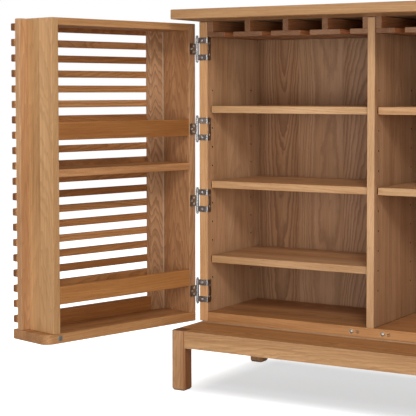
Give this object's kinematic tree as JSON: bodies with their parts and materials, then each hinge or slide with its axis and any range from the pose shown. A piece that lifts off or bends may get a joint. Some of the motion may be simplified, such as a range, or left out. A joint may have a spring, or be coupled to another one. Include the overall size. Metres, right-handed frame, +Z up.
{
  "type": "bar armoire",
  "caption": "Wooden bar armoire on a low leg base: shelved bays with stemware racks, and deep slatted box doors with bottle shelves and rails.",
  "frame": {"origin": "on the floor, under the middle of the armoire with both doors open as pictured", "axes": "+X to the right seen from the front, +Y from the front to the back, +Z up"},
  "size_m": [1.5316, 0.7843, 0.983],
  "materials": {
    "carcass_wood": "satin",
    "door_wood": "satin",
    "base_wood": "satin",
    "shelf_wood": "satin",
    "rack_wood": "satin",
    "slat_wood": "satin",
    "hinge_steel": "brushed nickel",
    "screw_steel": "bright",
    "pin_steel": "plain",
    "catch_steel": "bright",
    "bumper_plastic": "clear gloss"
  },
  "bodies": {
    "cabinet": {"back_panel": "carcass_wood", "bottom_panel": "carcass_wood", "carcass_spacer": "carcass_wood", "centre_divider": "carcass_wood", "deck_panel": "base_wood", "door_bumpers": "bumper_plastic", "door_magnets": "catch_steel", "frame_screws": "screw_steel", "front_base_rail": "base_wood", "front_left_leg": "base_wood", "front_right_leg": "base_wood", "left_base_rail": "base_wood", "left_frame_leaves": "hinge_steel", "left_hinge_pins": "hinge_steel", "left_rack_flanges": "rack_wood", "left_rack_stems": "rack_wood", "left_shelf_lower": "shelf_wood", "left_shelf_middle": "shelf_wood", "left_shelf_upper": "shelf_wood", "left_side_panel": "carcass_wood", "rear_base_rail": "base_wood", "rear_left_leg": "base_wood", "rear_right_leg": "base_wood", "right_base_rail": "base_wood", "right_frame_leaves": "hinge_steel", "right_hinge_pins": "hinge_steel", "right_rack_flanges": "rack_wood", "right_rack_stems": "rack_wood", "right_shelf_middle": "shelf_wood", "right_shelf_upper": "shelf_wood", "right_side_panel": "carcass_wood", "shelf_pins": "pin_steel", "top_panel": "carcass_wood"},
    "left_door": {"left_door_bottle_rails": "shelf_wood", "left_door_bottom_board": "door_wood", "left_door_frame_rails": "door_wood", "left_door_free_panel": "door_wood", "left_door_free_stile": "door_wood", "left_door_hinge_leaves": "hinge_steel", "left_door_hinge_panel": "door_wood", "left_door_hinge_screws": "screw_steel", "left_door_hinge_stile": "door_wood", "left_door_shelf": "shelf_wood", "left_door_slats": "slat_wood", "left_door_strike": "catch_steel", "left_door_top_board": "door_wood"},
    "right_door": {"right_door_bottle_rails": "shelf_wood", "right_door_bottom_board": "door_wood", "right_door_frame_rails": "door_wood", "right_door_free_panel": "door_wood", "right_door_free_stile": "door_wood", "right_door_hinge_leaves": "hinge_steel", "right_door_hinge_panel": "door_wood", "right_door_hinge_screws": "screw_steel", "right_door_hinge_stile": "door_wood", "right_door_shelf": "shelf_wood", "right_door_slats": "slat_wood", "right_door_strike": "catch_steel", "right_door_top_board": "door_wood"}
  },
  "joints": [
    {"name": "left_door_hinge", "type": "hinge", "parent": "cabinet", "child": "left_door", "pos_m": [-0.5055, 0.08318, 0.5562], "axis": [0, 0, -1], "range_deg": [-105, 75]},
    {"name": "right_door_hinge", "type": "hinge", "parent": "cabinet", "child": "right_door", "pos_m": [0.5055, 0.08318, 0.5562], "axis": [0, 0, 1], "range_deg": [-105, 75]}
  ]
}
